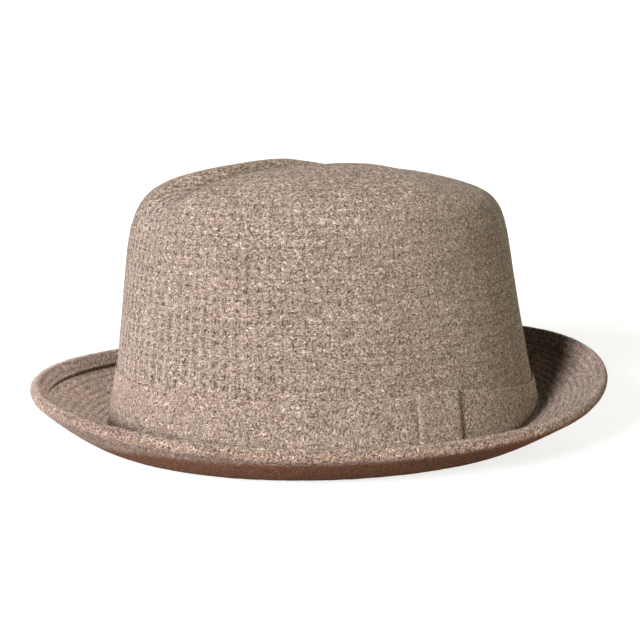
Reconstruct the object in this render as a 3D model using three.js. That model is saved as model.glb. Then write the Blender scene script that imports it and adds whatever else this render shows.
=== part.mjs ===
// A soft felt hat with a creased crown, a cloth band and a short brim that is turned up all round.
// Millimetres, +Z up. The wearer looks along -Y, and the wearer's left is +X, the side of the keeper.
// The origin is on the surface that the hat stands on, under the middle of the brim.
import * as THREE from 'three';

// Plan of the hat: half widths are along X and half lengths along Y.
const HEAD_HALF_WIDTH = 88;
const HEAD_HALF_LENGTH = 105;
const RIM_HALF_WIDTH = 124.5;
const RIM_HALF_LENGTH = 143;

// Cloth and leather thicknesses.
const FELT = 2.4;
const HEM_FELT = 2;
const BAND_FELT = 1.6;
const LEATHER = 1;
const LINING = 0.6;
const GAP = 0.35;

// How far inside the crown's outer face the lining hangs.
const LINING_DEPTH = FELT + 1.6;

// Crown: a wall that leans in, a rounded shoulder and a low dome, with a crease along its middle.
const SHOULDER_HEIGHT = 95;
const DOME_HEIGHT = 124.5;
const DOME_BULGE = 2;
const DOME_TILT = 0.028;
const SIDE_TAPER = 13.5;
const END_TAPER = 10.5;
const CROWN_LEAN = -3;
const SHOULDER_INSET = 4.4;
const SHOULDER_DROP = 14;
const DOME_EDGE_INSET = 15.5;
const DOME_EDGE_DROP = 6.4;
const WALL_HEIGHTS = [FELT + GAP, 30, 60, 82];
const CREASE_RIM = [88, 100];
const FRONT_DROOP = 0.7;
const BACK_DROOP = 3.5;
const DROOP_SKEW = 0.5;
const CREASE_DEPTH = 20;
const CREASE_EDGE = 1.6;
const CREASE_WIDTH_FRONT = 15;
const CREASE_WIDTH_BACK = 37;
const CREASE_FRONT_SHARE = 0.2;
const CREASE_WIDENS = [-60, 30];
const CREASE_DEEPENS = [-95, -25];
const CREASE_ENDS = [12, 50];
const PINCH_ANGLE = THREE.MathUtils.degToRad(-49);
const PINCH_DEPTH_LEFT = 4;
const PINCH_DEPTH_RIGHT = 1;
const PINCH_SPREAD = 0.26;
const PINCH_SHARE = 0.6;
const PINCH_REACH = 0.09;

// Brim: how high its edge stands, and the headline that climbs at the back.
const RIM_RISE = 19.5;
const RIM_RISE_BACK = 3;
const RIM_RISE_ENDS = 3;
const RIM_TWIST = 0.9;
const FLAT_SHARE = 0.17;
const CURL_POWER = 1.4;
const BACK_LIFT = 8;
const BACK_FLARE = 3.5;
const FLARE_FADE = 1.3;
const LIFT_BETWEEN = [0.05, 0.95];
// Where the hand-turned rim stands a little low or high: degrees round, and how far.
const RIM_BUMPS = [
  [20, -1.9],
  [80, 1.3],
  [190, -0.7],
  [230, 1],
];
const RIM_BUMP_POWER = 10;
const BACK_BETWEEN = [-0.1, 0.85];
const HEM_BORE = 1.6;
const HEM_WIDTH = 6;
const HEM_LEAN = 0.9;
const BRIM_STEPS = [0, 0.08, FLAT_SHARE, 0.3, 0.45, 0.6, 0.75, 0.9, 1];

// Band and keeper.
const BAND_TOP = 32;
const BAND_TOP_DROP = 9.5;
const BAND_FOOT = 2.6;
const BAND_JOINT = 0;
const KEEPER_ANGLE = THREE.MathUtils.degToRad(-3);
const KEEPER_WIDTH = 23;
const KEEPER_LINER = 0.9;
const KEEPER_EASE = 14;
const BAND_SLIT = 0.004;

// Sweatband and what holds it.
const SWEATBAND_DEPTH = LINING_DEPTH + LINING + 0.5;
const SWEATBAND_TOP = 37;
const SWEATBAND_FOOT = 3;
const SWEATBAND_SLIT = 0.006;
const BACK_ANGLE = Math.PI / 2;

// Cords: their radii, and how high each one runs over the headline.
const REED_RADIUS = 0.7;
const REED_HEIGHT = 1.6;
const THREAD_RADIUS = 0.25;
const HEADLINE_SEAM_HEIGHT = 3.2;
const SWEATBAND_SEAM_HEIGHT = 3.4;
const CORD_CLEARANCE = 0.1;
const WIRE_RADIUS = 0.45;
const WIRE_BACK = 0.1;
const HEM_THREAD_BACK = 1.9;
const LINING_SEAM_RADIUS = 0.4;
const LINING_SEAM_CLEARANCE = 0.5;

// Bow and tab inside the sweatband at the back.
const BOW = { length: 26, middle: 19, waist: 1.6, spread: 3.4, thickness: 0.8 };
const TAB = { turn: 0.45, length: 18, middle: 24, halfHeight: 5, thickness: 0.5 };

// Steps around the hat, for every piece that runs all the way round.
const AROUND = 48;

const { lerp, smoothstep } = THREE.MathUtils;

function backness(angle) {
  return smoothstep(Math.sin(angle), ...BACK_BETWEEN);
}

function headlineLift(angle) {
  return BACK_LIFT * smoothstep(Math.sin(angle), ...LIFT_BETWEEN);
}

function oval(halfWidth, halfLength, angle) {
  return new THREE.Vector2(halfWidth * Math.cos(angle), halfLength * Math.sin(angle));
}

// Uniform cubic B-spline through rows of numbers, with its ends held at the first and last rows.
function splineRow(rows, share) {
  const mirror = (end, next) => end.map((value, i) => 2 * value - next[i]);
  const held = [mirror(rows[0], rows[1]), ...rows, mirror(rows.at(-1), rows.at(-2))];
  const spans = held.length - 3;
  const span = Math.min(Math.floor(share * spans), spans - 1);
  const t = share * spans - span;
  const weights = [
    (1 - t) ** 3,
    3 * t ** 3 - 6 * t ** 2 + 4,
    -3 * t ** 3 + 3 * t ** 2 + 3 * t + 1,
    t ** 3,
  ];
  return rows[0].map((_, i) => weights.reduce((sum, w, k) => sum + (w * held[span + k][i]) / 6, 0));
}

// Rings of the crown from the headline to the middle of the top. Each holds its half width, half
// length, shift to the back, widening to the back, height, share of the droop and share of the flare.
function crownRings() {
  const topWidth = HEAD_HALF_WIDTH - SIDE_TAPER;
  const topLength = HEAD_HALF_LENGTH - END_TAPER;
  const wall = (height) => {
    const share = (height - FELT) / (SHOULDER_HEIGHT - FELT);
    return [
      lerp(HEAD_HALF_WIDTH, topWidth, share),
      lerp(HEAD_HALF_LENGTH, topLength, share),
      CROWN_LEAN * share,
      0,
      height,
      0,
      Math.max(0, 1 - FLARE_FADE * share),
    ];
  };
  const ring = (inset, below, shift, taper) => [
    topWidth - inset,
    topLength - inset,
    CROWN_LEAN + shift,
    taper,
    DOME_HEIGHT - below,
    1,
    0,
  ];
  return [
    ...WALL_HEIGHTS.map(wall),
    wall(SHOULDER_HEIGHT).with(5, 0.4),
    ring(SHOULDER_INSET, SHOULDER_DROP, 0, 0.01),
    ring(DOME_EDGE_INSET, DOME_EDGE_DROP, -1, 0.02),
    ring(topWidth * 0.52, 0, -2, 0.02).with(1, topLength * 0.48),
    ring(topWidth * 0.76, -DOME_BULGE * 0.8, -3, 0.01).with(1, topLength * 0.24),
    ring(topWidth, -DOME_BULGE, -3, 0).with(1, 0),
  ];
}

const CROWN_RINGS = crownRings();
const SHOULDER_SHARE = 4 / 9;

// Where the rings of every sheet that follows the crown lie, from the headline to the top.
const FOOT_STEPS = [0, 0.04, 0.08, 0.12, 0.22, 0.33];
const CROWN_STEPS = [...FOOT_STEPS, ...shares(SHOULDER_SHARE, 0.95, 12)];
const LINING_FOOT = 2;
const LINING_JOIN = 8;

function pinch(angle, share) {
  const bell = (centre) => Math.exp((Math.cos(angle - centre) - 1) / PINCH_SPREAD ** 2);
  const along = ((share - PINCH_SHARE) / PINCH_REACH) ** 2;
  const left = PINCH_DEPTH_LEFT * bell(PINCH_ANGLE);
  const right = PINCH_DEPTH_RIGHT * bell(Math.PI - PINCH_ANGLE);
  return (left + right) * Math.exp(-along);
}

// How far the crease lowers the dome at a point of its plan. It is narrow and shallow at the front.
function crease(x, y) {
  const width = lerp(CREASE_WIDTH_FRONT, CREASE_WIDTH_BACK, smoothstep(y, ...CREASE_WIDENS));
  const across = Math.max(0, 1 - (x / width) ** 2) ** CREASE_EDGE;
  const toFront = lerp(CREASE_FRONT_SHARE, 1, smoothstep(y, ...CREASE_DEEPENS));
  const toBack = 1 - smoothstep(y, ...CREASE_ENDS);
  return CREASE_DEPTH * across * toFront * toBack;
}

function crownSurface(angle, share) {
  const [width, length, shift, taper, height, droop, base] = splineRow(CROWN_RINGS, share);
  const sine = Math.sin(angle);
  const flare = BACK_FLARE * base * backness(angle);
  const inward = pinch(angle, share);
  const plan = oval(width + flare - inward, length + flare - inward, angle);
  const front = FRONT_DROOP * smoothstep(-sine, 0.1, 1);
  const back = BACK_DROOP * (1 + DROOP_SKEW * Math.cos(angle)) * smoothstep(sine, 0, 1);
  const [x, y] = [plan.x * (1 + taper * sine), plan.y + shift];
  const dome = height + droop * (DOME_TILT * x - front - back) + headlineLift(angle) * base;
  return new THREE.Vector3(x, y, dome - crease(x, y) * smoothstep(dome, ...CREASE_RIM));
}

// The same surface moved in by a depth, square to the cloth.
function crownAt(angle, share, depth) {
  const step = 0.004;
  const point = crownSurface(angle, share);
  const around = crownSurface(angle + step, share).sub(crownSurface(angle - step, share));
  const up = crownSurface(angle, Math.min(1, share + step)).sub(
    crownSurface(angle, Math.max(0, share - step)),
  );
  const normal = around.cross(up).normalize();
  return point.addScaledVector(normal, -depth);
}

// The lowest ring is cut level with the brim that the crown stands on.
function crownRing(share, depth) {
  return angles().map((angle) => {
    const at = crownAt(angle, share, depth);
    return share === 0 ? at.setZ(FELT + GAP + headlineLift(angle)) : at;
  });
}

function crownPole(depth) {
  const top = crownSurface(0, 1);
  return [new THREE.Vector3(top.x, top.y, top.z - depth)];
}

function angles() {
  return Array.from({ length: AROUND }, (_, i) => (i * 2 * Math.PI) / AROUND);
}

function shares(from, to, count) {
  return Array.from({ length: count }, (_, i) => lerp(from, to, i / (count - 1)));
}

// Plan of the outside of the crown at the headline, moved out by an offset.
function headline(angle, offset) {
  const flare = BACK_FLARE * backness(angle);
  const at = oval(HEAD_HALF_WIDTH + flare, HEAD_HALF_LENGTH + flare, angle);
  const normal = oval(1 / HEAD_HALF_WIDTH, 1 / HEAD_HALF_LENGTH, angle).normalize();
  return at.addScaledVector(normal, offset);
}

// Joins rows of points into one closed body. Each row is a closed loop, or a single point at a pole.
function loft(rows, wraps = false) {
  const positions = [];
  const starts = rows.map((row) => {
    const start = positions.length / 3;
    row.forEach((point) => positions.push(point.x, point.y, point.z));
    return start;
  });
  const faces = [];
  const last = wraps ? rows.length : rows.length - 1;
  for (let r = 0; r < last; r += 1) {
    joinRows(faces, rows, starts, r, (r + 1) % rows.length);
  }
  if (!wraps) {
    capRow(faces, rows[0].length, starts[0], false);
    capRow(faces, rows.at(-1).length, starts.at(-1), true);
  }
  return closedGeometry(positions, faces);
}

function joinRows(faces, rows, starts, lower, upper) {
  const count = Math.max(rows[lower].length, rows[upper].length);
  const index = (row, i) => starts[row] + (i % rows[row].length);
  for (let i = 0; i < count; i += 1) {
    const [a, b] = [index(lower, i), index(lower, i + 1)];
    const [c, d] = [index(upper, i), index(upper, i + 1)];
    if (a !== b) faces.push([a, b, c]);
    if (c !== d) faces.push([b, d, c]);
  }
}

function capRow(faces, count, start, atEnd) {
  for (let i = 1; i < count - 1; i += 1) {
    const face = [start, start + i + 1, start + i];
    faces.push(atEnd ? face.reverse() : face);
  }
}

function closedGeometry(positions, faces) {
  const corner = (i) => new THREE.Vector3().fromArray(positions, 3 * i);
  const volume = faces.reduce(
    (sum, [a, b, c]) => sum + corner(a).dot(corner(b).cross(corner(c))),
    0,
  );
  const outward = volume < 0 ? faces.map(([a, b, c]) => [a, c, b]) : faces;
  const geometry = new THREE.BufferGeometry();
  geometry.setAttribute('position', new THREE.Float32BufferAttribute(positions, 3));
  geometry.setIndex(outward.flat());
  geometry.computeVertexNormals();
  return geometry;
}

// The rings of a sheet that follows the crown at two depths: the outer ones going up, the inner
// ones coming down.
function crownSheet(steps, outside, inside) {
  const outer = steps.map((share) => crownRing(share, outside));
  const inner = steps.map((share) => crownRing(share, inside));
  return { outer, inner: inner.reverse() };
}

// A sheet that runs from its lowest ring up to the middle of the crown's top.
function crownDome(steps, outside, inside) {
  const { outer, inner } = crownSheet(steps, outside, inside);
  return loft([crownPole(inside), ...inner, ...outer, crownPole(outside)]);
}

function crownShell() {
  return crownDome(CROWN_STEPS, 0, FELT);
}

function liningTip() {
  const steps = CROWN_STEPS.slice(LINING_JOIN + 1);
  return crownDome(steps, LINING_DEPTH, LINING_DEPTH + LINING);
}

function liningSide() {
  const steps = CROWN_STEPS.slice(LINING_FOOT, LINING_JOIN + 1);
  const { outer, inner } = crownSheet(steps, LINING_DEPTH, LINING_DEPTH + LINING);
  return loft([...outer, ...inner], true);
}

function rimBump(angle) {
  const bump = ([at, height]) =>
    height * Math.max(0, Math.cos(angle - (at * Math.PI) / 180)) ** RIM_BUMP_POWER;
  return RIM_BUMPS.reduce((sum, row) => sum + bump(row), 0);
}

// Height of the middle of the brim's cloth, and its plan, for a share of the way to the edge.
function brimMiddle(angle, share) {
  const edge = FELT / 2;
  const inner = headline(angle, -FELT);
  const rim = oval(RIM_HALF_WIDTH, RIM_HALF_LENGTH, angle);
  const reach = rim.clone().sub(inner).length() - foldRadius() - HEM_FELT / 2;
  const outward = rim.sub(inner).normalize();
  const curl = Math.max(0, (share - FLAT_SHARE) / (1 - FLAT_SHARE));
  const rise =
    RIM_RISE +
    RIM_RISE_BACK * Math.sin(angle) -
    RIM_RISE_ENDS * Math.cos(2 * angle) +
    RIM_TWIST * Math.sin(2 * angle) +
    rimBump(angle);
  const power = lerp(CURL_POWER, 1, backness(angle));
  const lift = headlineLift(angle);
  return {
    origin: inner,
    outward,
    along: reach * share,
    height: edge + lift + (rise - lift) * curl ** power,
  };
}

function foldRadius() {
  return (HEM_FELT + HEM_BORE) / 2;
}

// Centre line of the brim in its upright plane: out from the headline, around the fold and back.
function brimCentreLine(angle) {
  const sheet = BRIM_STEPS.map((share) => {
    const at = brimMiddle(angle, share);
    return { at: new THREE.Vector2(at.along, at.height), thickness: FELT };
  });
  const end = sheet.at(-1).at;
  const tangent = end.clone().sub(sheet.at(-2).at).normalize();
  const normal = new THREE.Vector2(-tangent.y, tangent.x);
  const centre = end.clone().addScaledVector(normal, foldRadius());
  const fold = shares(0, Math.PI, 7)
    .slice(1)
    .map((turn) => {
      const at = centre.clone();
      at.addScaledVector(normal, -foldRadius() * Math.cos(turn));
      at.addScaledVector(tangent, foldRadius() * Math.sin(turn));
      return { at, thickness: HEM_FELT };
    });
  const flap = [0.5, 1].map((share) => {
    const at = centre.clone().addScaledVector(normal, foldRadius() - HEM_LEAN * share);
    at.addScaledVector(tangent, -HEM_WIDTH * share);
    return { at, thickness: HEM_FELT };
  });
  return { line: [...sheet, ...fold, ...flap], centre, tangent, normal };
}

// Turns a point of the upright plane at an angle into a point in space.
function inBrimPlane(angle, point) {
  const { origin, outward } = brimMiddle(angle, 0);
  const plan = origin.clone().addScaledVector(outward, point.x);
  return new THREE.Vector3(plan.x, plan.y, point.y);
}

function brimSection(angle) {
  const { line } = brimCentreLine(angle);
  const side = (sign) =>
    line.map(({ at, thickness }, i) => {
      const before = line[Math.max(0, i - 1)].at;
      const after = line[Math.min(line.length - 1, i + 1)].at;
      const along = after.clone().sub(before).normalize();
      const normal = new THREE.Vector2(-along.y, along.x);
      return at.clone().addScaledVector(normal, (sign * thickness) / 2);
    });
  return [...side(-1), ...side(1).reverse()].map((point) => inBrimPlane(angle, point));
}

function brim() {
  return loft(angles().map(brimSection), true);
}

// A round cord that runs all the way round; its centre is given for each angle.
function ringCord(centreAt, radius, sides) {
  const rows = angles().map((angle) => {
    const { plan, outward, height } = centreAt(angle);
    return Array.from({ length: sides }, (_, i) => {
      const turn = (i * 2 * Math.PI) / sides;
      const at = plan.clone().addScaledVector(outward, radius * Math.cos(turn));
      return new THREE.Vector3(at.x, at.y, height + radius * Math.sin(turn));
    });
  });
  return loft(rows, true);
}

function inHem(back) {
  return (angle) => {
    const { centre, tangent } = brimCentreLine(angle);
    const { origin, outward } = brimMiddle(angle, 0);
    const at = centre.clone().addScaledVector(tangent, -back);
    return {
      plan: origin.clone().addScaledVector(outward, at.x),
      outward,
      height: at.y,
    };
  };
}

function brimWire() {
  return ringCord(inHem(WIRE_BACK), WIRE_RADIUS, 6);
}

function hemThread() {
  return ringCord(inHem(HEM_THREAD_BACK), THREAD_RADIUS, 4);
}

// A cord beside the headline, at an offset from the crown's outside and a height above its lift.
function besideHeadline(offset, height) {
  return (angle) => ({
    plan: headline(angle, offset),
    outward: headline(angle, 1).sub(headline(angle, 0)),
    height: height + headlineLift(angle),
  });
}

function sweatbandReed() {
  const inside = -FELT - GAP - REED_RADIUS - CORD_CLEARANCE;
  return ringCord(besideHeadline(inside, REED_HEIGHT), REED_RADIUS, 6);
}

function headlineSeam() {
  const inside = -FELT - GAP - THREAD_RADIUS - CORD_CLEARANCE;
  return ringCord(besideHeadline(inside, HEADLINE_SEAM_HEIGHT), THREAD_RADIUS, 4);
}

function sweatbandStitching() {
  const inside = -SWEATBAND_DEPTH - LEATHER - GAP - THREAD_RADIUS;
  return ringCord(besideHeadline(inside, SWEATBAND_SEAM_HEIGHT), THREAD_RADIUS, 4);
}

function liningSeam() {
  const depth = LINING_DEPTH + LINING + LINING_SEAM_RADIUS + LINING_SEAM_CLEARANCE;
  const rows = angles().map((angle) => {
    const join = (CROWN_STEPS[LINING_JOIN] + CROWN_STEPS[LINING_JOIN + 1]) / 2;
    const centre = crownAt(angle, join, depth);
    const up = new THREE.Vector3(0, 0, 1);
    const outward = new THREE.Vector3(Math.cos(angle), Math.sin(angle), 0);
    return [0, 1, 2, 3].map((i) => {
      const turn = (i * Math.PI) / 2;
      const at = centre.clone().addScaledVector(outward, LINING_SEAM_RADIUS * Math.cos(turn));
      return at.addScaledVector(up, LINING_SEAM_RADIUS * Math.sin(turn));
    });
  });
  return loft(rows, true);
}

// Share of the crown at which its outside reaches a height.
function shareAtHeight(angle, height) {
  let [low, high] = [0, SHOULDER_SHARE + 0.05];
  for (let i = 0; i < 24; i += 1) {
    const middle = (low + high) / 2;
    if (crownSurface(angle, middle).z < height) low = middle;
    else high = middle;
  }
  return (low + high) / 2;
}

// A point beside the crown's wall: outside it for a positive offset, inside for a negative one.
function besideWall(angle, height, offset) {
  return crownAt(angle, shareAtHeight(angle, height), -offset).setZ(height);
}

// A strip of cloth that follows the wall from one angle to another, closed at both ends.
function wallStrip(stations, limits) {
  const rows = stations.map((angle) => {
    const { bottom, top, inside, outside } = limits(angle);
    const heights = shares(bottom, top, 4);
    return [
      ...heights.map((height) => besideWall(angle, height, outside)),
      ...heights.reverse().map((height) => besideWall(angle, height, inside)),
    ];
  });
  return loft(rows);
}

// Angles of a strip that starts and ends at a joint, with a small slit between its ends.
function slitAngles(joint, slit) {
  const whole = shares(joint, joint + 2 * Math.PI, AROUND + 1);
  return [joint + slit, ...whole.slice(1, -1), whole.at(-1) - slit];
}

function bandTop(angle) {
  return BAND_TOP - BAND_TOP_DROP * backness(angle);
}

function bandBottom(angle) {
  return FELT + BAND_FOOT + headlineLift(angle);
}

// The band stands off the crown under the keeper, where the keeper's inner layer passes behind it.
function bandStandOff(angle) {
  const away = (Math.cos(angle - KEEPER_ANGLE) - 1) * KEEPER_EASE;
  return GAP + (KEEPER_LINER + GAP) * Math.exp(away);
}

function hatBand() {
  return wallStrip(slitAngles(BAND_JOINT, BAND_SLIT), (angle) => ({
    bottom: bandBottom(angle),
    top: bandTop(angle),
    inside: bandStandOff(angle),
    outside: bandStandOff(angle) + BAND_FELT,
  }));
}

// A loop of cloth that goes round the band, swept across its width.
function bandKeeper() {
  const half = KEEPER_WIDTH / 2 / HEAD_HALF_LENGTH;
  const stations = shares(KEEPER_ANGLE - half, KEEPER_ANGLE + half, 7);
  const outer = stations.map((angle) => {
    const far = bandStandOff(angle) + 2 * BAND_FELT + GAP;
    return keeperLoop(angle, GAP, far, GAP + KEEPER_LINER);
  });
  const inner = stations.map((angle) => {
    const far = bandStandOff(angle) + BAND_FELT + GAP;
    return keeperLoop(angle, GAP + KEEPER_LINER, far, GAP);
  });
  return loft([...outer, ...inner.reverse()], true);
}

// Four corners around the band: near and far offsets from the crown, and a margin past its edges.
function keeperLoop(angle, near, far, margin) {
  const [low, high] = [bandBottom(angle) - margin, bandTop(angle) + margin];
  return [
    besideWall(angle, low, near),
    besideWall(angle, low, far),
    besideWall(angle, high, far),
    besideWall(angle, high, near),
  ];
}

function bandStitching() {
  const outside = 2 * GAP + THREAD_RADIUS + CORD_CLEARANCE;
  const height = FELT + GAP + THREAD_RADIUS + CORD_CLEARANCE;
  return ringCord(besideHeadline(outside, height), THREAD_RADIUS, 4);
}

function sweatband() {
  return wallStrip(slitAngles(BACK_ANGLE, SWEATBAND_SLIT), (angle) => ({
    bottom: SWEATBAND_FOOT + headlineLift(angle),
    top: SWEATBAND_TOP,
    inside: -SWEATBAND_DEPTH - LEATHER,
    outside: -SWEATBAND_DEPTH,
  }));
}

// A small piece inside the sweatband, whose half height changes along its length.
function insideTab(angle, { length, middle, thickness }, halfHeight) {
  const radius = HEAD_HALF_WIDTH ** 2 / HEAD_HALF_LENGTH;
  const near = -SWEATBAND_DEPTH - LEATHER - GAP;
  const half = length / 2 / radius;
  return wallStrip(
    shares(-1, 1, 9).map((share) => angle + half * share),
    (at) => {
      const share = (at - angle) / half;
      return {
        bottom: middle - halfHeight(share),
        top: middle + halfHeight(share),
        inside: near - thickness,
        outside: near,
      };
    },
  );
}

function sweatbandBow() {
  return insideTab(BACK_ANGLE, BOW, (share) => BOW.waist + BOW.spread * Math.abs(share));
}

function sizeTab() {
  return insideTab(BACK_ANGLE + TAB.turn, TAB, () => TAB.halfHeight);
}

function cloth(colour, roughness) {
  return new THREE.MeshStandardMaterial({ color: colour, roughness, metalness: 0 });
}

const FELT_CLOTH = cloth(0x8f7a68, 0.95);
const BAND_CLOTH = cloth(0x877361, 0.95);
const THREAD = cloth(0x5b4a3c, 0.7);
const SATIN = cloth(0x3b2d26, 0.45);
const LEATHER_SKIN = cloth(0x6a4128, 0.5);
const WOVEN_TAB = cloth(0xd8cfc0, 0.8);
const PLASTIC_REED = cloth(0x2c2320, 0.4);
const STEEL = new THREE.MeshStandardMaterial({ color: 0x9a9ca0, roughness: 0.35, metalness: 1 });

const hat = new THREE.Group();

function add(name, geometry, material) {
  const mesh = new THREE.Mesh(geometry, material);
  mesh.name = name;
  hat.add(mesh);
}

add('crown', crownShell(), FELT_CLOTH);
add('brim', brim(), FELT_CLOTH);
add('brim_wire', brimWire(), STEEL);
add('hem_thread', hemThread(), THREAD);
add('headline_seam', headlineSeam(), THREAD);
add('hat_band', hatBand(), BAND_CLOTH);
add('band_keeper', bandKeeper(), BAND_CLOTH);
add('band_stitching', bandStitching(), THREAD);
add('sweatband', sweatband(), LEATHER_SKIN);
add('sweatband_reed', sweatbandReed(), PLASTIC_REED);
add('sweatband_stitching', sweatbandStitching(), THREAD);
add('sweatband_bow', sweatbandBow(), SATIN);
add('size_tab', sizeTab(), WOVEN_TAB);
add('lining_side', liningSide(), SATIN);
add('lining_tip', liningTip(), SATIN);
add('lining_seam', liningSeam(), SATIN);

export default hat;
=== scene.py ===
"""A soft felt hat: creased crown, short brim turned up all round, cloth band with a keeper.

Shapes are worked out in millimetres, in the part's own frame, and written to meshes in metres.
The front is towards -Y, the wearer's left is +X, and the hat stands on z = 0.
"""
import math

import bpy
import numpy as np
from mathutils import Matrix, Vector, noise


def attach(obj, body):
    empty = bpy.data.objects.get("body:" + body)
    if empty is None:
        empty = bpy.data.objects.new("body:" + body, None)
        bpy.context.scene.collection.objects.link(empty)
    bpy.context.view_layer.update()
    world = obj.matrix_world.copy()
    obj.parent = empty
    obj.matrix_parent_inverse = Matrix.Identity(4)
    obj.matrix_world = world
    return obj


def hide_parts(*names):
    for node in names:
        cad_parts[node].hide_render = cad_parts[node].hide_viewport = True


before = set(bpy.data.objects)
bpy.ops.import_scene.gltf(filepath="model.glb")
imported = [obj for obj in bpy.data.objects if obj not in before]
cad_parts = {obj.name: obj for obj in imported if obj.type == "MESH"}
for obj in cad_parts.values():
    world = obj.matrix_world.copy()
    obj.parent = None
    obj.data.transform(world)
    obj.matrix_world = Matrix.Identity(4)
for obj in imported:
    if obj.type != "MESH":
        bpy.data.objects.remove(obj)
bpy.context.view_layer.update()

MM = 0.001
TURN = 2 * math.pi

# Plan and cloth, as in the CAD model.
HEAD_HALF_WIDTH, HEAD_HALF_LENGTH = 88.0, 105.0
RIM_HALF_WIDTH, RIM_HALF_LENGTH = 124.5, 143.0
FELT, HEM_FELT, BAND_FELT = 2.4, 2.0, 1.6
GAP = 0.35
LINING_DEPTH = FELT + 1.6
LINING = 0.6
SWEATBAND_DEPTH = LINING_DEPTH + LINING + 0.5
LEATHER = 1.0
# The lining's satin is drawn thinner than in the CAD model, to leave room for its folds.
SATIN = 0.35

# Crown.
SHOULDER_HEIGHT = 95.0
DOME_HEIGHT = 124.5
DOME_BULGE, DOME_TILT = 2.0, 0.028
SIDE_TAPER, END_TAPER = 13.5, 10.5
CROWN_LEAN = -3.0
SHOULDER_INSET, SHOULDER_DROP = 4.4, 14.0
DOME_EDGE_INSET, DOME_EDGE_DROP = 15.5, 6.4
WALL_HEIGHTS = (FELT + GAP, 30, 60, 82)
CREASE_RIM = (88, 100)
FRONT_DROOP, BACK_DROOP, DROOP_SKEW = 0.7, 3.5, 0.5
CREASE_DEPTH, CREASE_EDGE = 20.0, 1.6
CREASE_WIDTH_FRONT, CREASE_WIDTH_BACK = 15.0, 37.0
CREASE_FRONT_SHARE = 0.2
CREASE_WIDENS = (-60, 30)
CREASE_DEEPENS = (-95, -25)
CREASE_ENDS = (12, 50)
PINCH_ANGLE = math.radians(-49)
PINCH_DEPTH_LEFT, PINCH_DEPTH_RIGHT = 4.0, 1.0
PINCH_SPREAD, PINCH_SHARE, PINCH_REACH = 0.26, 0.6, 0.09
LINING_FOOT_SHARE, LINING_JOIN_SHARE, LINING_JOIN_GAP = 0.085, 0.6, 0.012

# Brim.
RIM_RISE, RIM_RISE_BACK, RIM_RISE_ENDS, RIM_TWIST = 19.5, 3.0, 3.0, 0.9
FLAT_SHARE = 0.17
CURL_POWER = 1.4
BACK_LIFT, BACK_FLARE, FLARE_FADE = 8.0, 3.5, 1.3
LIFT_BETWEEN = (0.05, 0.95)
# Where the hand-turned rim stands a little low or high: degrees round, and how far.
RIM_BUMPS = ((20, -1.9), (80, 1.3), (190, -0.7), (230, 1.0))
RIM_BUMP_POWER = 10
BACK_BETWEEN = (-0.1, 0.85)
HEM_BORE, HEM_WIDTH = 1.6, 6.0
HEM_LEAN = 1.9
HEM_EDGE_THIN, HEM_EDGE_THICK = 0.35, 1.3
# On this side the hem's edge is thick, and the rim's pale colour reaches far down the underside:
# partly the felt's own colour, partly painted light.
PALE_SIDE = math.radians(-127)
# The concentric rows pressed into the brim's upper side.
ROW_SPACING, ROW_HEIGHT = 3.4, 0.16

# Band and keeper.
BAND_FOOT, BAND_TOP, BAND_TOP_DROP = 2.6, 32.0, 9.5
KEEPER_ANGLE = math.radians(-3)
KEEPER_WIDTH = 23.0
KEEPER_HALF_TURN = KEEPER_WIDTH / 2 / HEAD_HALF_LENGTH
KEEPER_LINER = 0.9
KEEPER_COVER = 1.3
KEEPER_SLACK, KEEPER_CORNER, KEEPER_EDGE_ROUND = 0.15, 1.4, 0.5
KEEPER_LIFT_POWER, KEEPER_EDGE_POWER = 14, 14
# How far the band gapes, sinks in, is pressed in, and thins to its top edge.
BAND_GAPE, BAND_SINK, BAND_PRESS = 0.35, 0.28, 0.5
BAND_THIN_MOST, BAND_THIN_LEAST = 1.1, 0.15
FULL_BAND_ANGLE, PRESSED_BAND_ANGLE = 0.2, math.radians(48)
# The band and the sweatband stop short of their joins by these angles, in radians.
BAND_END, SWEATBAND_END = 0.004, 0.006

# Sweatband, with a bow and a tab near the back. The radius is the head oval's own at the back.
SWEATBAND_FOOT, SWEATBAND_TOP = 3.0, 37.0
BACK_ANGLE = math.pi / 2
BACK_RADIUS = HEAD_HALF_WIDTH**2 / HEAD_HALF_LENGTH
TRIM_OFFSET = -SWEATBAND_DEPTH - LEATHER - GAP
BOW_HEIGHT, BOW_HALF_LENGTH = 19.0, 13.0
BOW_WAIST, BOW_FLARE, BOW_PUFF = 1.3, 3.4, 0.7
KNOT_HALF_LENGTH, KNOT_HALF_HEIGHT = 2.1, 1.6
TAB_FROM_BACK, TAB_HALF_LENGTH = 0.45, 9.0
TAB_FOOT, TAB_TOP = 19.0, 29.0

# Knit of the cloth: wales run up the crown, courses run round it.
WALES_AROUND = 116
COURSE = 4.6
KNIT_FRONT = math.radians(-112)

# Unevenness of the felt and the lining: the height of the bumps, and how wide they are.
CROWN_BUMPS, CROWN_BUMP_SIZE = 0.1, 3.5
CROWN_SWELLS, CROWN_SWELL_SIZE = 0.5, 34
BRIM_BUMPS, BRIM_BUMP_SIZE = 0.14, 2.2
LINING_SLACK, LINING_SLACK_SIZE = 0.35, 19

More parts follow.
